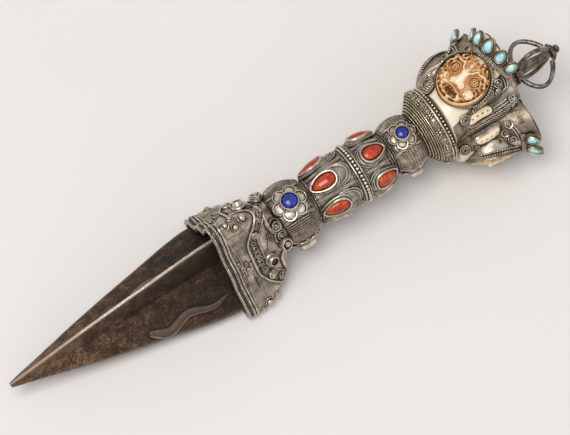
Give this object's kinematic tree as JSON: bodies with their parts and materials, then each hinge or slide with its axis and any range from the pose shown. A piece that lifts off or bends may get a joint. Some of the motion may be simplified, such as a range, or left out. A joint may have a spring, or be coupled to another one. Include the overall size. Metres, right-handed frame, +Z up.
{
  "type": "ritual dagger",
  "caption": "Three-finned iron ritual dagger lying on its side, with silver mount, coral and lapis set grip, carved faces and an open pronged finial.",
  "frame": {"origin": "centre of the base of the bounding box, on the table the dagger lies on", "axes": "+X runs along the dagger from the blade's point to the finial, +Z is up, -Y is the side the picture is taken from"},
  "size_m": [0.2996, 0.0742, 0.0659],
  "materials": {
    "iron": "rough dark brown patina, edges polished bright",
    "silver_dark": "aged silver, dark in the hollows",
    "silver_bright": "rubbed silver",
    "bone": "carved bone stained amber",
    "coral": "polished coral",
    "turquoise": "polished turquoise",
    "lapis": "polished lapis lazuli",
    "garnet": "polished garnet",
    "pitch": "dark pitch and resin"
  },
  "bodies": {
    "root": {"blade": "iron", "snakes": "iron", "mount_shell": "silver_dark", "mouth_wires": "silver_dark", "mount_wire": "silver_dark", "mount_pitch": "pitch", "makara_curls": "silver_dark", "makara_eye_bezels": "silver_dark", "makara_eyes": "garnet", "makara_noses": "silver_dark", "knot_lower": "silver_dark", "knot_lower_pitch": "pitch", "knot_lower_flowers": "silver_bright", "knot_lower_bezels": "silver_bright", "knot_lower_lapis": "lapis", "neck_ring_lower": "silver_dark", "grip_lower": "silver_dark", "grip_lower_petals": "silver_dark", "grip_lower_bezels": "silver_dark", "grip_lower_corals": "coral", "waist_band": "silver_dark", "waist_beads": "silver_bright", "grip_pitch": "pitch", "grip_upper": "silver_dark", "grip_upper_petals": "silver_dark", "grip_upper_bezels": "silver_dark", "grip_upper_corals": "coral", "neck_ring_upper": "silver_dark", "knot_upper": "silver_dark", "knot_upper_pitch": "pitch", "knot_upper_flowers": "silver_bright", "knot_upper_bezels": "silver_bright", "knot_upper_lapis": "lapis", "collar": "silver_dark", "collar_wires": "silver_dark", "collar_beads": "silver_bright", "collar_flowers": "silver_dark", "collar_pitch": "pitch", "head_core": "bone", "face_top": "bone", "face_right": "bone", "face_left": "bone", "face_rims": "silver_bright", "ears": "bone", "ear_bezels": "silver_bright", "earrings": "silver_dark", "side_ribs": "silver_dark", "diadems": "silver_dark", "crown_top": "silver_dark", "crown_right": "silver_dark", "crown_left": "silver_dark", "crown_bezels": "silver_dark", "turquoises": "turquoise", "head_cap": "silver_dark", "tang_nut": "iron", "finial_foot": "silver_dark", "finial_shaft": "iron", "finial_prongs": "iron", "finial_tip": "iron"}
  },
  "joints": []
}
